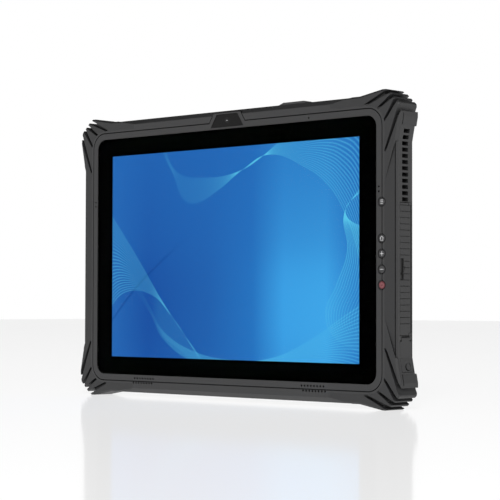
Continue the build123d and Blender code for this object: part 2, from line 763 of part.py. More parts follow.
def ribbed_plate(z_range):
    """A cover plate in the side face, grooved across at the vents' pitch."""
    plate = block((body_half_w - door_thickness, body_half_w), (door_front, door_back), z_range)
    across = (door_front - 1, door_back + 1)
    plate = chamfer(plate.faces().sort_by(Axis.X)[-1].outer_wire().edges(), 0.3)
    count = int((z_range[1] - z_range[0] - 2) / vent_pitch)
    for number in range(count):
        z = z_range[1] - 1.6 - number * vent_pitch
        plate -= block((body_half_w - rib_depth, body_half_w + 1), across, (z - rib_width, z))
    return plate


door = ribbed_plate((door_bottom, door_top))
lug_room = lug_half + lug_clearance
hinge_side_x = (hinge_x - 5, body_half_w + 1)
for z in ((door_bottom - 1, barrel_z[0]), (barrel_z[1], door_top + 1)):
    door -= block(hinge_side_x, (door_hinge_y - lug_room, door_back + 1), z)
door -= block(hinge_side_x, (door_hinge_y, door_back + 1), (barrel_z[0] - 1, barrel_z[1] + 1))
door += rod(barrel_radius, (hinge_x, door_hinge_y, barrel_z[0]), barrel_length_z, "z")
pin_hole = pin_radius + pin_clearance
door_height = door_top - door_bottom
door_across = door_back - door_front
door -= rod(pin_hole, (hinge_x, door_hinge_y, door_bottom - 1), door_height + 2, "z")
notch_z = (door_bottom + door_top) / 2
notch = Pos(body_half_w + 0.6, door_front + 1.2, notch_z) * Cylinder(3.2, 15)
notch_y = (door_front + 0.6, door_front + 5)
door -= notch & block((body_half_w - 0.8, body_half_w + 1), notch_y, (notch_z - 7.5, notch_z + 7.5))
save("port_door", door)
save("port_door_pin", rod(pin_radius, (hinge_x, door_hinge_y, door_bottom + 0.3), door_height - 0.6, "z"))

flap_profile = outline(
    (body_half_w, flap_top),
    (body_half_w, -grip_end),
    (side_x(flap_bottom), flap_bottom),
    (side_x(flap_bottom) - door_thickness, flap_bottom),
    (body_half_w - door_thickness, -grip_end),
    (body_half_w - door_thickness, flap_top),
)
flap = slab(flap_profile, door_front, door_back)
for y in ((door_front - 1, barrel_y[0]), (barrel_y[1], door_back + 1)):
    flap -= block(hinge_side_x, y, (flap_hinge_z - lug_room, flap_top + 1))
flap -= block(hinge_side_x, (door_front - 1, door_back + 1), (flap_hinge_z, flap_top + 1))
flap += rod(barrel_radius, (hinge_x, barrel_y[0], flap_hinge_z), barrel_length_y, "y")
flap -= rod(pin_hole, (hinge_x, door_front - 1, flap_hinge_z), door_across + 2, "y")
scoop_z = flap_bottom + 4.0
scoop_x = side_x(scoop_z) - 0.7
scoop = rod(3.4, (scoop_x, 12.0, scoop_z), 3, "x") - rod(2.3, (scoop_x - 1, 12.6, scoop_z - 0.6), 5, "x")
flap -= scoop
save("power_flap", flap)
save("power_flap_pin", rod(pin_radius, (hinge_x, door_front + 0.3, flap_hinge_z), door_across - 0.6, "y"))

save("expansion_cover", ribbed_plate(cover_z).mirror(Plane.YZ))

# ---- connectors behind the covers ---------------------------------------------------------------

socket_length = 13.0
shell_wall = 0.5
tongue_inset = 1.6
bay_middle_y = (bay_front + bay_back) / 2


def socket_box(z, height, depth, tongue):
    """A metal connector shell with its tongue, mouth flush with the bay's floor."""
    x = (bay_floor_x - socket_length, bay_floor_x)

    def section(x_range, grow_y, grow_z):
        half_y = depth / 2 + grow_y
        half_z = height / 2 + grow_z
        return block(x_range, (bay_middle_y - half_y, bay_middle_y + half_y), (z - half_z, z + half_z))

    mouth = section((x[0] + 2, x[1] + 1), -shell_wall, -shell_wall)
    bar = section((x[0] + 1, x[1] - 1), (tongue - depth) / 2, -tongue_inset)
    return section(x, 0, 0) - mouth + bar


port_sizes = {"usb_port": (14.2, 6.6, 1.8), "hdmi_port": (15.6, 6.2, 1.6), "usb_c_port": (10.0, 4.0, 0.8)}
audio_radius = 3.6
audio_size = 2 * audio_radius
bay_length = door_cavity_z[1] - door_cavity_z[0]
ports_length = audio_size + sum(size[0] for size in port_sizes.values())
space = (bay_length - ports_length) / (len(port_sizes) + 2)
port_z = door_cavity_z[1]
port_tools = []
for node, (height, depth, tongue) in port_sizes.items():
    port_z -= space + height / 2
    save(node, socket_box(port_z, height, depth, tongue))
    y = (bay_middle_y - depth / 2, bay_middle_y + depth / 2)
    z = (port_z - height / 2, port_z + height / 2)
    port_tools.append(block((bay_floor_x - 4, bay_floor_x + 1), y, z))
    port_z -= height / 2
port_z -= space + audio_radius
audio = rod(audio_radius, (bay_floor_x - socket_length, bay_middle_y, port_z), socket_length, "x")
audio -= rod(1.8, (bay_floor_x - socket_length + 1, bay_middle_y, port_z), socket_length, "x")
save("audio_jack", audio)
port_tools.append(rod(audio_radius + 0.05, (bay_floor_x - 4, bay_middle_y, port_z), 5, "x"))

power_z = (flap_cavity_z[0] + flap_cavity_z[1]) / 2
power = rod(4.4, (bay_floor_x - socket_length, bay_middle_y, power_z), socket_length, "x")
power -= rod(3.2, (bay_floor_x - socket_length + 2, bay_middle_y, power_z), socket_length, "x")
power += rod(1.05, (bay_floor_x - socket_length + 1, bay_middle_y, power_z), socket_length - 2, "x")
save("power_jack", power)
port_tools.append(rod(4.45, (bay_floor_x - 4, bay_middle_y, power_z), 5, "x"))
for tool in port_tools:
    housing -= tool
save("rear_housing", housing)

# ---- chassis, boards and cooling -----------------------------------------------------------------

chassis_half_w = flange_half_w - 0.4
chassis_half_h = flange_half_h - 0.4
chassis_corner = seam_corner - flange_inset - 0.4
chassis = slab(rounded(chassis_half_w, chassis_half_h, chassis_corner), guard_depth, chassis_back)
chassis -= slab(Rectangle(2 * lcd_half_w + 0.2, 2 * lcd_half_h + 0.2), guard_depth - 1, lcd_back)
save("chassis", chassis)

board_front = chassis_back + 1.0
board_back = board_front + 1.2
vent_middle_z = (last_vent + body_half_h - vent_top_margin) / 2
fan_size = 48.0
fan_x = body_half_w - wall - 16.0 - fan_size / 2
fan_front = chassis_back + 0.6
fan_back = vent_back + 0.2
board_right = fan_x - fan_size / 2 - 4
board_z = (battery_top + 6.0, flange_half_h - 6)
board_left = -chassis_half_w + 12
board_width = board_right - board_left
board_height = board_z[1] - board_z[0]
chip_back = board_back + 1.4
board = [block((board_left, board_right), (board_front, board_back), board_z)]
# each chip: place along and up the board as shares of it, then half its length and height
chip_places = (
    (0.75, 0.55, 15, 12),
    (0.55, 0.55, 8, 8),
    (0.42, 0.55, 8, 8),
    (0.2, 0.4, 11, 9),
    (0.3, 0.75, 6, 14),
)
for along, up, half_x, half_z in chip_places:
    x = board_left + along * board_width
    z = board_z[0] + up * board_height
    board.append(block((x - half_x, x + half_x), (board_back, chip_back), (z - half_z, z + half_z)))
stand_offs = [(board_left + 6, board_z[0] + 6), (board_right - 6, board_z[1] - 6)]
for x, z in stand_offs:
    board.append(rod(2.5, (x, chassis_back, z), board_front - chassis_back, "y"))
save("mainboard", *board)

fin_x = (body_half_w - wall - 14.0, body_half_w - wall - 5.0)
fin_z = (max(key_heights.values()) + 2.6, body_half_h - vent_top_margin + vent_height)
fins = block(fin_x, (fan_front, fan_front + 0.8), fin_z)
fin_count = 2 * vent_count
fin_half = 0.2
for number in range(fin_count + 1):
    z = fin_z[0] + fin_half + number * (fin_z[1] - fin_z[0] - 2 * fin_half) / fin_count
    fins += block(fin_x, (fan_front, fan_back), (z - fin_half, z + fin_half))
save("heat_sink", fins)

cpu_x = board_left + chip_places[0][0] * board_width
cpu_z = board_z[0] + chip_places[0][1] * board_height
pipe_y = (fan_back, fan_back + 2.0)
pipe_bend_z = fin_z[1] - 5
pipe = block((cpu_x - 4, fin_x[1]), pipe_y, (pipe_bend_z - 4, pipe_bend_z + 4))
pipe += block((cpu_x - 4, cpu_x + 4), pipe_y, (cpu_z - 4, pipe_bend_z))
pipe += block((cpu_x - 10, cpu_x + 10), (chip_back, pipe_y[0]), (cpu_z - 10, cpu_z + 10))
save("heat_pipe", pipe)

fan_half = fan_size / 2
fan_case_z = (vent_middle_z - fan_half, vent_middle_z + fan_half)
fan_case = block((fan_x - fan_half, fan_x + fan_half), (fan_front, fan_back), fan_case_z)
rotor_radius = fan_half - 4
scroll = rod(rotor_radius + 1.5, (fan_x, fan_front + 0.9, vent_middle_z), fan_back - fan_front - 1.8, "y")
inlet = rod(rotor_radius - 5, (fan_x, fan_back - 2, vent_middle_z), 4, "y")
outlet_z = (vent_middle_z - rotor_radius, vent_middle_z + rotor_radius)
outlet = block((fan_x, fan_x + fan_half + 1), (fan_front + 0.9, fan_back - 0.9), outlet_z)
bearing_radius = 1.0
bearing_clearance = 0.05
fan_case -= [scroll, inlet, outlet]
fan_case += rod(2.6, (fan_x, fan_front, vent_middle_z), 2.2, "y")
fan_case -= rod(bearing_radius + bearing_clearance, (fan_x, fan_front + 0.3, vent_middle_z), 4, "y")
save("fan_housing", fan_case)

rotor_y = (fan_front + 2.6, fan_back - 1.4)
rotor = rod(9, (fan_x, rotor_y[0], vent_middle_z), rotor_y[1] - rotor_y[0], "y")
blade_count = 13
for number in range(blade_count):
    blade = block((8, rotor_radius), (rotor_y[0], rotor_y[1]), (-0.35, 0.35))
    rotor += Pos(fan_x, 0, vent_middle_z) * (Rot(0, number * 360 / blade_count, 0) * blade)
rotor += rod(bearing_radius, (fan_x, fan_front + 0.5, vent_middle_z), 3, "y")
save("fan_rotor", rotor)

io_board_x = (bay_floor_x - socket_length - 4, bay_floor_x - 2.5)
io_y = bay_middle_y + 4.5
io_board = block(io_board_x, (io_y, io_y + 1.2), (flap_cavity_z[0], door_cavity_z[1]))
save("io_board", io_board)

key_board_x = (key_x - 3.0, key_x + 3.6)
key_board_z = (min(key_heights.values()) - 5, max(key_heights.values()) + 2.2)
dome_front = key_pcb_front - 0.6
key_board = [block(key_board_x, (key_pcb_front, key_pcb_front + key_pcb_thickness), key_board_z)]
for height in key_heights.values():
    key_board.append(rod(1.6, (key_x, dome_front, height), key_pcb_front - dome_front, "y"))
save("key_board", *key_board)

key_flange_front = guard_depth + flange_depth
key_flange_thickness = dome_front - key_flange_front - key_travel - 2 * key_rest_gap
for node, height in key_heights.items():
    key = rod(key_radius, (key_x, key_top, height), key_flange_front - key_top, "y")
    key = fillet(key.faces().sort_by(Axis.Y)[0].outer_wire().edges(), 0.4)
    flange_start = (key_x, key_flange_front + key_rest_gap, height)
    key += rod(key_flange_radius, flange_start, key_flange_thickness, "y")
    key += rod(key_radius - 0.5, (key_x, key_flange_front - 0.5, height), 0.8, "y")
    save(node, key)

# ---- speakers and antennas --------------------------------------------------------------------------

speaker_y = (guard_depth + flange_depth + 0.2, guard_depth + flange_depth + 6.2)
speaker_z = (-(body_half_h - wall - 1.0), guard_row_z + 4.5)
for name, side in (("left", -1), ("right", 1)):
    x = speaker_x[side]
    speaker = block((x - 19, x + 19), speaker_y, speaker_z)
    cone_z = (speaker_z[0] + 1.5, speaker_z[1] - 1.5)
    speaker -= block((x - 14, x + 14), (speaker_y[0] - 1, speaker_y[0] + 0.8), cone_z)
    save(f"speaker_{name}", speaker)
    antenna_x = (side * 95 - 22, side * 95 + 22)
    antenna_z = (body_half_h - wall - 0.6, body_half_h - wall - 0.1)
    save(f"antenna_{name}", block(antenna_x, (8.0, 15.0), antenna_z))
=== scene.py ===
import math
import bpy
from mathutils import Euler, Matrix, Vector


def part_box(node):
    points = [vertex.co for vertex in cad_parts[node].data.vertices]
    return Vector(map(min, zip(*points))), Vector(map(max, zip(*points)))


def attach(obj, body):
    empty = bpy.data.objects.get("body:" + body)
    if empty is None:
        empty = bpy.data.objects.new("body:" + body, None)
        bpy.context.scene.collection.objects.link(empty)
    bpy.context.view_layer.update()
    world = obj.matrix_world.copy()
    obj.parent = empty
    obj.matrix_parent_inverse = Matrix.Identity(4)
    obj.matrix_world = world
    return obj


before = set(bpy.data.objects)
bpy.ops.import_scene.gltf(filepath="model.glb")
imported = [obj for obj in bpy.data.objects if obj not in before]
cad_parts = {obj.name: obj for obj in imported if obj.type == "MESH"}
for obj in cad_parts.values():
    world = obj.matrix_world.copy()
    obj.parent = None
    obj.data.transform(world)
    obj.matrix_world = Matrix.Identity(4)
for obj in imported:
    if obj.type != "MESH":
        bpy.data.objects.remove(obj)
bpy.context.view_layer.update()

# ---- chassis casting -----------------------------------------------------------------------
# The frame that carries the display and the boards: die cast magnesium, left with a bare,
# faintly mottled as-cast skin. The display drops into its front and it screws to the housing.


def node(tree, kind, inputs=(), **settings):
    """Adds a shader node; an input may be a plain value or another node's output."""
    made = tree.nodes.new("ShaderNode" + kind)
    for name, value in settings.items():
        setattr(made, name, value)
    for name, value in dict(inputs).items():
        if isinstance(value, bpy.types.NodeSocket):
            tree.links.new(value, made.inputs[name])
        else:
            made.inputs[name].default_value = value
    return made


def maths(tree, operation, first, second=0.0, third=0.0):
    """One sum on values that change over the surface."""
    made = node(tree, "Math", {0: first, 1: second, 2: third}, operation=operation)
    return made.outputs[0]


def blend_colours(tree, factor, low, high):
    """A colour that runs from low to high with a mask."""
    made = node(tree, "Mix", {0: factor, 6: low, 7: high}, data_type="RGBA")
    return made.outputs[2]


# How far the painted shade in creases reaches, and how dark it gets.
crease_reach = 0.0025
crease_shade_share = 0.1


def skin_group():
    """Grain, slow mottle, edges lightened as rubbed wear and as a painted highlight, and painted shade
    in creases, shared by moulded and cast surfaces.
    """
    group = bpy.data.node_groups.new("moulded_skin", "ShaderNodeTree")
    for name, value in (("Grain Scale", 4000.0), ("Mottle Scale", 60.0), ("Edge Width", 0.0004)):
        made = group.interface.new_socket(name, in_out="INPUT", socket_type="NodeSocketFloat")
        made.default_value = value
    for name in ("Grain", "Mottle", "Edge", "Open"):
        group.interface.new_socket(name, in_out="OUTPUT", socket_type="NodeSocketFloat")
    group.interface.new_socket("Rounded Normal", in_out="OUTPUT", socket_type="NodeSocketVector")
    given = group.nodes.new("NodeGroupInput").outputs
    place = node(group, "TexCoord").outputs["Object"]
    grain = node(group, "TexNoise", {"Vector": place, "Scale": given["Grain Scale"], "Detail": 3.0})
    mottle = node(group, "TexNoise", {"Vector": place, "Scale": given["Mottle Scale"], "Detail": 5.0})
    rounded = node(group, "Bevel", {"Radius": given["Edge Width"]}, samples=6)
    flat = node(group, "NewGeometry").outputs["Normal"]
    agree = node(group, "VectorMath", {0: rounded.outputs[0], 1: flat}, operation="DOT_PRODUCT")
    turned = maths(group, "SUBTRACT", 1.0, agree.outputs["Value"])
    broken = maths(group, "MULTIPLY", turned, maths(group, "ADD", mottle.outputs[0], 0.4))
    edge = maths(group, "MINIMUM", maths(group, "MULTIPLY", broken, 5.0), 1.0)
    # Occlusion mask: creases, seams and recesses are painted darker, as shade.
    sheltered = node(group, "AmbientOcclusion", {"Distance": crease_reach}, samples=8)
    openness = maths(group, "POWER", sheltered.outputs["AO"], 2.0)
    result = group.nodes.new("NodeGroupOutput")
    group.links.new(openness, result.inputs["Open"])
    group.links.new(grain.outputs[0], result.inputs["Grain"])
    group.links.new(mottle.outputs[0], result.inputs["Mottle"])
    group.links.new(edge, result.inputs["Edge"])
    group.links.new(rounded.outputs[0], result.inputs["Rounded Normal"])
    return group


moulded_skin = skin_group()


def finish_of(name, colour, roughness, metallic=0.0, grain=4000.0, relief=0.00003, mottle=60.0,
              spread=0.12, edge_width=0.0004, edge_light=1.5, rough_spread=0.12, **plain):
    """A Principled material whose colour, gloss and relief vary over the moulded skin."""
    material = bpy.data.materials.new(name)
    material.use_nodes = True
    tree = material.node_tree
    shader = tree.nodes["Principled BSDF"]
    skin = node(tree, "Group", node_tree=moulded_skin)
    for socket, value in (("Grain Scale", grain), ("Mottle Scale", mottle), ("Edge Width", edge_width)):
        skin.inputs[socket].default_value = value
    dark = [part * (1 - spread) for part in colour] + [1.0]
    light = [part * (1 + spread) for part in colour] + [1.0]
    # Edges lighten by edge_light: partly rubbed wear, partly a painted highlight.
    rubbed_and_highlit = [min(1.0, part * edge_light) for part in colour] + [1.0]
    ground = blend_colours(tree, skin.outputs["Mottle"], dark, light)
    worn_and_highlit = blend_colours(tree, skin.outputs["Edge"], ground, rubbed_and_highlit)
    # Creases and recesses darken towards a tenth of the colour: painted shade.
    crease_shaded = [part * crease_shade_share for part in colour] + [1.0]
    tree.links.new(blend_colours(tree, skin.outputs["Open"], crease_shaded, worn_and_highlit), shader.inputs["Base Color"])
    low = max(0.02, roughness - rough_spread)
    uneven = maths(tree, "MULTIPLY_ADD", skin.outputs["Mottle"], 2 * rough_spread, low)
    tree.links.new(uneven, shader.inputs["Roughness"])
    bump = node(tree, "Bump", {"Distance": relief, "Height": skin.outputs["Grain"],
                               "Normal": skin.outputs["Rounded Normal"]})
    tree.links.new(bump.outputs[0], shader.inputs["Normal"])
    shader.inputs["Metallic"].default_value = metallic
    for socket, value in plain.items():
        shader.inputs[socket.replace("_", " ")].default_value = value
    return material


def coat(material, *nodes):
    """Gives CAD pieces their finish."""
    for name in nodes:
        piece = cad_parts[name]
        if not piece.material_slots:
            piece.data.materials.append(material)
        for slot in piece.material_slots:
            slot.material = material


coat(finish_of("magnesium_casting", (0.42, 0.42, 0.43), 0.5, metallic=0.9, grain=2500.0), "chassis")

# ---- circuit boards ------------------------------------------------------------------------
# Glass fibre boards with a green solder mask: the main board behind the display, the connector
# board on the right and the thin flexible key board, each screwed or glued to the chassis.


def board_material():
    """Solder mask with the faint run of copper tracks under it, shown in its colour."""
    material = finish_of("solder_mask", (0.012, 0.07, 0.03), 0.35, grain=3000.0, relief=0.00001)
    tree = material.node_tree
    place = node(tree, "TexCoord").outputs["Object"]
    tracks = node(tree, "TexBrick", {"Vector": place, "Scale": 120.0, "Mortar Size": 0.08})
    shader = tree.nodes["Principled BSDF"]
    below = shader.inputs["Base Color"].links[0].from_socket
    copper = blend_colours(tree, tracks.outputs["Fac"], below, (0.03, 0.14, 0.05, 1.0))
    tree.links.new(copper, shader.inputs["Base Color"])
    return material


coat(board_material(), "mainboard", "io_board", "key_board")

# ---- cooling -------------------------------------------------------------------------------
# A flattened copper pipe takes the processor's heat to a stack of folded aluminium fins beside
# the vents, and a small radial fan in a black housing blows through them.

coat(finish_of("folded_fins", (0.55, 0.55, 0.56), 0.35, metallic=1.0, grain=3500.0), "heat_sink")
coat(finish_of("copper_pipe", (0.72, 0.36, 0.22), 0.3, metallic=1.0, grain=1500.0), "heat_pipe")
coat(finish_of("fan_plastic", (0.015, 0.015, 0.016), 0.45), "fan_housing", "fan_rotor")

# ---- display -------------------------------------------------------------------------------
# A 12.2 inch panel behind a sheet of hardened glass. The glass has a black printed border on
# its back, an anti-glare coating in front and a foam gasket; the panel shows a blue picture.

lcd_border = 0.0045
lcd_low, lcd_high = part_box("lcd_panel")
view_low = (lcd_low.x + lcd_border, lcd_low.z + lcd_border)
view_size = (lcd_high.x - lcd_low.x - 2 * lcd_border, lcd_high.z - lcd_low.z - 2 * lcd_border)


def run_of(tree, position, points):
    """A smooth run of values along one way of the picture."""
    made = node(tree, "FloatCurve", {"Value": position})
    made.mapping.clip_min_y, made.mapping.clip_max_y = -1.0, 2.0
    dots = made.mapping.curves[0].points
    dots[0].location, dots[1].location = points[0], points[-1]
    for x, y in points[1:-1]:
        dots.new(x, y)
    made.mapping.update()
    return made.outputs[0]


def ribbon(tree, along, across, edge, far_edge, strength, lines, haze):
    """A sheaf of fine lines between two smooth edges; it glows where the edges come together."""
    start = run_of(tree, along, edge)
    gap = maths(tree, "SUBTRACT", run_of(tree, along, far_edge), start)
    share = maths(tree, "DIVIDE", maths(tree, "SUBTRACT", across, start), gap)
    within = maths(tree, "COMPARE", share, 0.5, 0.5)
    wave = maths(tree, "PINGPONG", maths(tree, "MULTIPLY", share, lines), 0.5)
    line = maths(tree, "MULTIPLY", maths(tree, "POWER", maths(tree, "MULTIPLY", wave, 2.0), 3.0), 0.55)
    pinch = maths(tree, "MINIMUM", maths(tree, "DIVIDE", haze, maths(tree, "ABSOLUTE", gap)), 1.0)
    light = maths(tree, "MULTIPLY", maths(tree, "ADD", line, pinch), within)
    return maths(tree, "MULTIPLY", light, run_of(tree, along, strength))


def picture_material():
    """The lit panel: a blue sweep, brighter right of the middle, with sheaves of pale lines."""
    material = bpy.data.materials.new("lit_display")
    material.use_nodes = True
    tree = material.node_tree
    shader = tree.nodes["Principled BSDF"]
    place = node(tree, "SeparateXYZ", {0: node(tree, "TexCoord").outputs["Object"]})
    from_left = maths(tree, "SUBTRACT", place.outputs["X"], view_low[0])
    across = maths(tree, "DIVIDE", from_left, view_size[0])
    from_foot = maths(tree, "SUBTRACT", place.outputs["Z"], view_low[1])
    down = maths(tree, "SUBTRACT", 1.0, maths(tree, "DIVIDE", from_foot, view_size[1]))
    sweep = node(tree, "ValToRGB", {0: across})
    blues = (
        (0.0, (0.020, 0.135, 0.450)),
        (0.16, (0.011, 0.082, 0.360)),
        (0.42, (0.016, 0.118, 0.420)),
        (0.60, (0.020, 0.170, 0.520)),
        (0.72, (0.045, 0.350, 0.780)),
        (0.88, (0.050, 0.375, 0.800)),
        (1.0, (0.022, 0.185, 0.560)),
    )
    stops = sweep.color_ramp.elements
    stops[0].position, stops[1].position = 0.0, 1.0
    for position, blue in blues[1:-1]:
        stops.new(position).color = (*blue, 1.0)
    stops[0].color, stops[-1].color = (*blues[0][1], 1.0), (*blues[-1][1], 1.0)
    depth = run_of(tree, down, ((0.0, 0.3), (0.4, 0.6), (0.75, 1.0), (1.0, 0.85)))
    ground = blend_colours(tree, depth, (0.018, 0.14, 0.47, 1.0), sweep.outputs[0])

    # edges of the sheaves, as (share of the way along, share of the way across)
    upper_edge = ((0.0, -0.6), (0.2, -0.3), (0.24, 0.0), (0.3, 0.11), (0.4, 0.135), (0.52, 0.125),
                  (0.62, 0.07), (0.8, -0.15), (1.0, -0.6))
    upper_far = ((0.0, -0.3), (0.2, -0.1), (0.225, 0.0), (0.27, 0.11), (0.33, 0.25), (0.37, 0.255),
                 (0.46, 0.2), (0.56, 0.11), (0.66, 0.05), (0.8, 0.12), (0.88, 0.2), (0.94, 0.32),
                 (1.0, 0.55))
    upper_light = ((0.0, 0.0), (0.2, 0.2), (0.35, 0.35), (0.6, 0.7), (1.0, 0.85))
    side_edge = ((0.0, 1.2), (0.28, 0.97), (0.34, 0.945), (0.5, 0.955), (0.65, 0.915), (0.78, 0.875),
                 (0.88, 0.905), (0.95, 1.0), (1.0, 1.1))
    side_far = ((0.0, 1.6), (0.26, 0.99), (0.34, 0.952), (0.44, 1.08), (0.66, 1.2), (0.85, 1.15),
                (1.0, 1.22))
    side_light = ((0.0, 0.0), (0.24, 0.3), (0.32, 1.2), (0.7, 0.7), (1.0, 0.3))
    low_edge = ((0.0, 0.42), (0.17, 0.75), (0.23, 0.87), (0.375, 0.97), (0.52, 1.0), (0.66, 0.99),
                (0.82, 0.9), (0.92, 0.81), (1.0, 0.74))
    low_far = ((0.0, 0.5), (0.17, 0.78), (0.23, 0.91), (0.375, 1.02), (0.52, 1.03), (0.66, 1.02),
               (0.8, 1.1), (0.92, 1.3), (1.0, 1.5))
    low_light = ((0.0, 0.0), (0.17, 0.1), (0.25, 0.4), (0.5, 0.7), (1.0, 0.8))
    left_edge = ((0.0, 0.3), (0.11, 0.5), (0.25, 0.77), (0.395, 1.0), (1.0, 1.9))
    left_far = ((0.0, 0.75), (0.07, 0.68), (0.17, 0.69), (0.26, 0.79), (0.395, 1.02), (1.0, 1.95))
    left_light = ((0.0, 0.9), (0.2, 0.6), (0.34, 0.35), (0.45, 0.0), (1.0, 0.0))
    inner_far = ((0.0, 0.2), (0.16, 0.5), (0.18, 0.75), (0.22, 0.88), (0.34, 1.0), (0.5, 1.3),
                 (1.0, 1.5))
    inner_light = ((0.0, 0.0), (0.17, 0.0), (0.22, 0.35), (0.36, 0.2), (0.45, 0.0), (1.0, 0.0))
    sheaves = (
        ribbon(tree, across, down, upper_edge, upper_far, upper_light, 36.0, 0.012),
        ribbon(tree, down, across, side_edge, side_far, side_light, 30.0, 0.012),
        ribbon(tree, across, down, low_edge, low_far, low_light, 44.0, 0.012),
        ribbon(tree, across, down, left_edge, left_far, left_light, 24.0, 0.01),
        ribbon(tree, across, down, left_edge, inner_far, inner_light, 26.0, 0.008),
    )
    light = sheaves[0]
    for sheaf in sheaves[1:]:
        light = maths(tree, "ADD", light, sheaf)

    # one soft dark stroke rises from the left edge
    rise = ((0.0, 0.82), (0.1, 0.67), (0.17, 0.585), (0.3, 0.45), (0.45, 0.3), (1.0, 0.0))
    stroke = run_of(tree, across, rise)
    off = maths(tree, "ABSOLUTE", maths(tree, "SUBTRACT", down, stroke))
    dim = run_of(tree, across, ((0.0, 0.55), (0.15, 0.6), (0.3, 0.15), (0.4, 0.0), (1.0, 0.0)))
    shade = node(tree, "MapRange", {"Value": off, "From Max": 0.012, "To Min": 1.0, "To Max": 0.0})
    depth_of_stroke = maths(tree, "MULTIPLY", shade.outputs[0], dim)
    ground = blend_colours(tree, depth_of_stroke, ground, (0.006, 0.05, 0.25, 1.0))
    lines = blend_colours(tree, maths(tree, "MINIMUM", light, 0.85), ground, (0.11, 0.62, 0.86, 1.0))
    tree.links.new(lines, shader.inputs["Emission Color"])
    shader.inputs["Emission Strength"].default_value = 1.0
    shader.inputs["Base Color"].default_value = (0.0, 0.0, 0.0, 1.0)
    shader.inputs["Specular IOR Level"].default_value = 0.0
    return material


coat(picture_material(), "lcd_panel")
coat(finish_of("printed_border", (0.0012, 0.0012, 0.0013), 0.5, relief=0.0, Specular_IOR_Level=0.0),
     "glass_border")
coat(finish_of("foam_gasket", (0.02, 0.02, 0.02), 0.9, grain=2500.0), "glass_gasket")


def glass_material():
    """Clear coated glass with a faint unevenness left by wiping; its plain values stay plain."""
    material = bpy.data.materials.new("hardened_glass")
    material.use_nodes = True
    tree = material.node_tree
    shader = tree.nodes["Principled BSDF"]
    shader.inputs["Base Color"].default_value = (1.0, 1.0, 1.0, 1.0)
    shader.inputs["Transmission Weight"].default_value = 1.0
    shader.inputs["IOR"].default_value = 1.04
    place = node(tree, "TexCoord").outputs["Object"]
    smear = node(tree, "TexNoise", {"Vector": place, "Scale": 40.0, "Detail": 4.0})
    tree.links.new(maths(tree, "MULTIPLY", smear.outputs[0], 0.03), shader.inputs["Roughness"])
    return material


coat(glass_material(), "cover_glass")

# ---- front rim, camera window and camera ------------------------------------------------------
# The rim round the glass is moulded in glass filled nylon with a fine spark textured face. A
# black gloss window in its upper tab covers the front camera, which is screwed on from behind.

shell_grey = (0.042, 0.042, 0.043)
coat(finish_of("rim_plastic", shell_grey, 0.5, grain=3500.0, relief=0.00002), "front_bezel")
coat(finish_of("gloss_window", (0.006, 0.006, 0.006), 0.3, grain=900.0, relief=0.000002, IOR=1.25),
     "camera_window")
coat(finish_of("camera_module", (0.02, 0.02, 0.022), 0.4), "front_camera", "scan_engine")

# ---- guard, rails, grips and corner bumpers ------------------------------------------------------
# The guard and its two bevelled rails are moulded in the rim's plastic. Soft grips run down both
# sides in a darker rubber; their darker tone is partly painted shade on their bevelled faces. Four
# finned bumpers of a tough elastomer wrap the corners and take the falls.

coat(finish_of("guard_plastic", shell_grey, 0.48, grain=3500.0, relief=0.00002),
     "guard_ring", "top_rail", "bottom_rail")
coat(finish_of("grip_rubber", (0.034, 0.034, 0.035), 0.62, grain=2200.0, relief=0.00004, edge_light=1.8),
     "side_grip_left", "side_grip_right")
# The bumpers' fin edges are lightened: rubbed wear and a painted highlight.
coat(finish_of("bumper_elastomer", (0.033, 0.033, 0.034), 0.5, grain=2600.0, edge_light=2.0),
     "corner_bumper_top_left", "corner_bumper_top_right", "corner_bumper_bottom_left",
     "corner_bumper_bottom_right")

# ---- keys and their legends ------------------------------------------------------------------
# Five silicone keys stand in round dishes down the right rim. Their legends are raised, printed
# strokes; the lowest key, for power, is moulded in a dull red.

key_names = ("key_function", "key_home", "key_plus", "key_minus")
# The keys' edges are lightened strongly: a painted highlight round their rims.
coat(finish_of("key_silicone", (0.05, 0.05, 0.052), 0.45, grain=3000.0, edge_light=3.0), *key_names)
coat(finish_of("power_key_silicone", (0.19, 0.042, 0.05), 0.45, grain=3000.0, edge_light=1.6),
     "key_power")
legend_ink = finish_of("legend_ink", (0.92, 0.93, 0.94), 0.4, grain=3000.0, relief=0.00001)
power_ink = finish_of("power_legend_ink", (0.45, 0.16, 0.17), 0.4, grain=3000.0, relief=0.00001)

stroke_radius = 0.00028
stroke_seat = 0.00016
legend_reach = 0.0017


def raised_mark(name, body, paths, place, radius, material):
    """Printed strokes a little proud of a surface; each path is a list of points round place."""
    data = bpy.data.curves.new(name, "CURVE")
    data.dimensions = "3D"
    data.bevel_depth = radius
    data.bevel_resolution = 2
    data.use_fill_caps = True
    for path in paths:
        spline = data.splines.new("POLY")
        spline.points.add(len(path) - 1)
        for point, spot in zip(spline.points, path):
            point.co = (*place(*spot), 1.0)
    mark = bpy.data.objects.new(name, data)
    bpy.context.scene.collection.objects.link(mark)
    data.materials.append(material)
    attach(mark, body)
    return mark


def arc(start, stop, radius, count=14):
    """Points round an arc, in degrees from the upright, clockwise."""
    turns = [math.radians(start + (stop - start) * step / count) for step in range(count + 1)]
    return [(radius * math.sin(turn), radius * math.cos(turn)) for turn in turns]


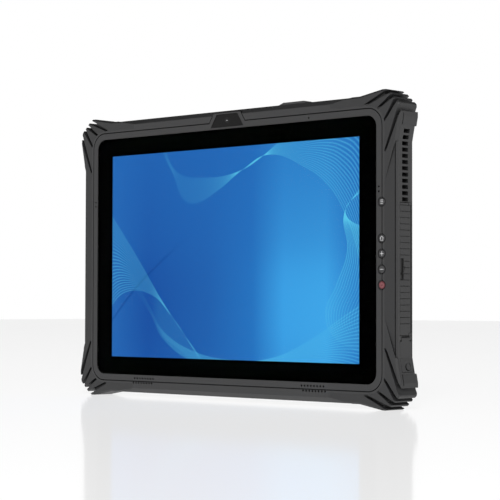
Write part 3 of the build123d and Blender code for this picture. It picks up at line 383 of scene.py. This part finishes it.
legends = {
    "key_function": [[(-0.7, height), (0.7, height)] for height in (0.7, 0.0, -0.7)],
    "key_home": [[(-0.95, 0.0), (0.0, 0.95), (0.95, 0.0)],
                 [(-0.6, 0.2), (-0.6, -0.85), (0.6, -0.85), (0.6, 0.2)]],
    "key_plus": [[(-0.9, 0.0), (0.9, 0.0)], [(0.0, -0.9), (0.0, 0.9)]],
    "key_minus": [[(-0.9, 0.0), (0.9, 0.0)]],
    "key_power": [arc(35, 325, 0.85), [(0.0, 0.1), (0.0, 1.05)]],
}
for key, paths in legends.items():
    low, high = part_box(key)
    middle = (low + high) / 2

    def on_key(across, up):
        return (middle.x + across * legend_reach, low.y + stroke_seat, middle.z + up * legend_reach)

    ink = power_ink if key == "key_power" else legend_ink
    raised_mark(key + "_legend", key, paths, on_key, stroke_radius, ink)

# ---- camera lens ring and painted glint ---------------------------------------------------------
# A thin grey ring is printed round the clear spot of the camera window. A short white stroke inside
# it is a painted glint on the lens. Both are ink strokes on the window's face.

low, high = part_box("camera_window")
window_middle = (low + high) / 2


def on_window(across, up):
    """A place on the window's face, in millimetres from its middle."""
    return (window_middle.x + across / 1000, low.y + stroke_seat, window_middle.z + up / 1000)


raised_mark("camera_lens_ring", "tablet", [arc(0, 360, 1.9, 28)], on_window, 0.00018,
            finish_of("ring_ink", (0.09, 0.09, 0.095), 0.3, grain=3000.0, relief=0.00001))
# A short white stroke across the lens: painted glint.
raised_mark("camera_lens_glint", "tablet", [[(-0.4, 0.0), (0.4, 0.0)]], on_window, 0.0004, legend_ink)

# ---- rear housing and its ribbed cover ----------------------------------------------------------
# The back shell is one moulding in glass filled nylon, with the vents, the connector bays and the
# battery bay in it. A ribbed blank cover clips into its left side, opposite the connector door.

coat(finish_of("housing_plastic", (0.04, 0.04, 0.041), 0.52, grain=2600.0, relief=0.00004),
     "rear_housing")
coat(finish_of("cover_plastic", (0.065, 0.065, 0.067), 0.55, grain=2600.0, relief=0.00004),
     "expansion_cover")

# ---- connector door, power flap and what is behind them --------------------------------------------
# Both covers are ribbed rubber over a stiff core and swing on ground steel pins. Behind them sit
# plated connector shells with black tongues, soldered to the connector board.

coat(finish_of("door_rubber", (0.046, 0.046, 0.047), 0.6, grain=2400.0, relief=0.00004, edge_light=1.8),
     "port_door", "power_flap")
coat(finish_of("ground_pin", (0.5, 0.5, 0.52), 0.25, metallic=1.0, grain=2500.0),
     "port_door_pin", "power_flap_pin")
coat(finish_of("plated_shell", (0.55, 0.55, 0.57), 0.28, metallic=1.0, grain=1800.0),
     "usb_port", "hdmi_port", "usb_c_port")
coat(finish_of("connector_plastic", (0.012, 0.012, 0.013), 0.45, grain=2500.0),
     "audio_jack", "power_jack", "dock_connector")
mark_ink = finish_of("mark_ink", (0.006, 0.006, 0.006), 0.55, grain=3000.0, relief=0.00001)

door_low, door_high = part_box("port_door")
door_marks = [
    [(0.0, 7.6), (0.2, -6.4)],
    [(0.1, 3.2), (1.9, 1.0), (1.9, -0.8)],
    [(0.1, -2.2), (-1.1, -4.0)],
    [(0.9, -11.6), (1.1, -11.9)],
]


def on_side(low, high, middle_z, middle_y):
    """A place on an outer side face, from across (towards the back) and up, in millimetres."""
    def place(across, up):
        return (high.x - 0.0001, middle_y + across / 1000, middle_z + up / 1000)
    return place


door_place = on_side(door_low, door_high, (door_low.z + door_high.z) / 2, door_low.y + 0.0035)
raised_mark("port_door_mark", "port_door", door_marks, door_place, 0.00035, mark_ink)

# ---- dock and contacts -------------------------------------------------------------------------
# A long black connector in the lower edge with two rows' worth of gold plated pads, which meet
# the spring pins of a desk or vehicle dock.

coat(finish_of("gold_plating", (0.83, 0.6, 0.24), 0.25, metallic=1.0, grain=2000.0),
     "dock_contacts", "battery_contacts")

# ---- scanner hood ------------------------------------------------------------------------------
# A moulded hood on the top edge covers a code reader that looks upwards through a dark red filter.

coat(finish_of("hood_plastic", (0.085, 0.085, 0.087), 0.5, grain=3000.0, relief=0.00003), "scanner_hood")
coat(finish_of("red_filter", (0.09, 0.004, 0.004), 0.08, grain=600.0, relief=0.0, Coat_Weight=0.4),
     "scanner_window")

# ---- rear camera -------------------------------------------------------------------------------
# A black gloss plinth on the back holds the camera in a turned, dark anodised ring and a small
# frosted flash lens beside it.

coat(finish_of("plinth_gloss", (0.012, 0.012, 0.013), 0.18, grain=900.0, relief=0.000002),
     "camera_plinth")
coat(finish_of("anodised_ring", (0.08, 0.08, 0.085), 0.28, metallic=0.9, grain=2500.0),
     "rear_camera_barrel")
coat(finish_of("coated_lens", (0.01, 0.012, 0.03), 0.05, grain=600.0, relief=0.0, Coat_Weight=1.0),
     "rear_camera_lens")
coat(finish_of("flash_lens", (0.75, 0.72, 0.5), 0.3, grain=2200.0, relief=0.00006), "camera_flash")

# ---- battery and latches ------------------------------------------------------------------------
# The battery is a flat pack in the housing's plastic. Two ribbed sliders above it lock it in, and
# gold blades at its lower end carry the current.

coat(finish_of("battery_plastic", (0.058, 0.058, 0.06), 0.5, grain=2600.0, relief=0.00004),
     "battery_pack")
coat(finish_of("latch_plastic", (0.03, 0.03, 0.031), 0.45, grain=2600.0, edge_light=2.0),
     "battery_latch_left", "battery_latch_right")

# ---- inserts and screws -------------------------------------------------------------------------
# Four turned brass inserts are pressed into the back for a bracket. Black zinc plated socket
# screws hold the housing to the chassis.

coat(finish_of("turned_brass", (0.6, 0.45, 0.2), 0.3, metallic=1.0, grain=2500.0), "threaded_inserts")
coat(finish_of("black_zinc", (0.06, 0.06, 0.065), 0.35, metallic=0.9, grain=2500.0), "housing_screws")

# ---- speakers and antennas ------------------------------------------------------------------------
# Two sealed black speaker boxes sit behind the sound holes, and two film antennas are glued under
# the top wall.

coat(finish_of("speaker_box", (0.015, 0.015, 0.016), 0.5), "speaker_left", "speaker_right")
coat(finish_of("antenna_film", (0.16, 0.09, 0.03), 0.3, grain=1500.0), "antenna_left", "antenna_right")

# ---- studio ------------------------------------------------------------------------------------
# A plain pale floor with a faint polish, lit evenly from below like a light table, in a plain
# light tent that is bright round the horizon and darker overhead, with one soft lamp.

floor_reach = 6.0
polish = 0.2
floor_data = bpy.data.meshes.new("studio_floor")
corners = [(-floor_reach, -floor_reach, 0.0), (floor_reach, -floor_reach, 0.0),
           (floor_reach, floor_reach, 0.0), (-floor_reach, floor_reach, 0.0)]
floor_data.from_pydata(corners, [], [(0, 1, 2, 3)])
floor = bpy.data.objects.new("studio_floor", floor_data)
bpy.context.scene.collection.objects.link(floor)
floor_material = bpy.data.materials.new("pale_floor")
floor_material.use_nodes = True
ground = floor_material.node_tree
ground.nodes.remove(ground.nodes["Principled BSDF"])
glow = node(ground, "Emission", {"Color": (0.85, 0.85, 0.85, 1.0)})
sheet = node(ground, "BsdfDiffuse", {"Color": (0.35, 0.35, 0.35, 1.0)})
paper = node(ground, "AddShader", {0: glow.outputs[0], 1: sheet.outputs[0]})
gloss = node(ground, "BsdfGlossy", {"Color": (1.0, 1.0, 1.0, 1.0), "Roughness": 0.1})
polished = node(ground, "MixShader", {0: polish, 1: paper.outputs[0], 2: gloss.outputs[0]})
ground.links.new(polished.outputs[0], ground.nodes["Material Output"].inputs["Surface"])
floor_data.materials.append(floor_material)

world = bpy.data.worlds.new("light_tent")
bpy.context.scene.world = world
world.use_nodes = True
sky = world.node_tree
height = node(sky, "SeparateXYZ", {0: node(sky, "TexCoord").outputs["Generated"]}).outputs["Z"]
tent = node(sky, "ValToRGB", {0: height})
tent.color_ramp.elements[0].color = (1.0, 1.0, 1.0, 1.0)
tent.color_ramp.elements[0].position = 0.2
tent.color_ramp.elements[1].color = (0.02, 0.02, 0.02, 1.0)
tent.color_ramp.elements[1].position = 0.36
sky.links.new(tent.outputs[0], sky.nodes["Background"].inputs["Color"])
sky.nodes["Background"].inputs["Strength"].default_value = 1.0


def soft_lamp(name, place, aim, size, power):
    """A large square lamp turned towards a point."""
    lamp = bpy.data.lights.new(name, "AREA")
    lamp.shape, lamp.size, lamp.energy = "SQUARE", size, power
    made = bpy.data.objects.new(name, lamp)
    made.location = place
    made.rotation_euler = (Vector(aim) - Vector(place)).to_track_quat("-Z", "Y").to_euler()
    bpy.context.scene.collection.objects.link(made)


soft_lamp("key_lamp", (1.2, -1.4, 1.1), (0.0, 0.0, 0.1), 0.5, 15.0)


camera_data = bpy.data.cameras.new("camera")
camera_data.sensor_width = 36.0
camera_data.lens = 125.63
camera_data.clip_start = 0.05
camera = bpy.data.objects.new("camera", camera_data)
camera.location = (0.9316, -0.9848, 0.0746)
camera.rotation_euler = Euler((math.radians(90 + 1.81), math.radians(-0.132), math.radians(43.013)))
bpy.context.scene.collection.objects.link(camera)
bpy.context.scene.camera = camera
bpy.context.scene.view_settings.view_transform = "Standard"
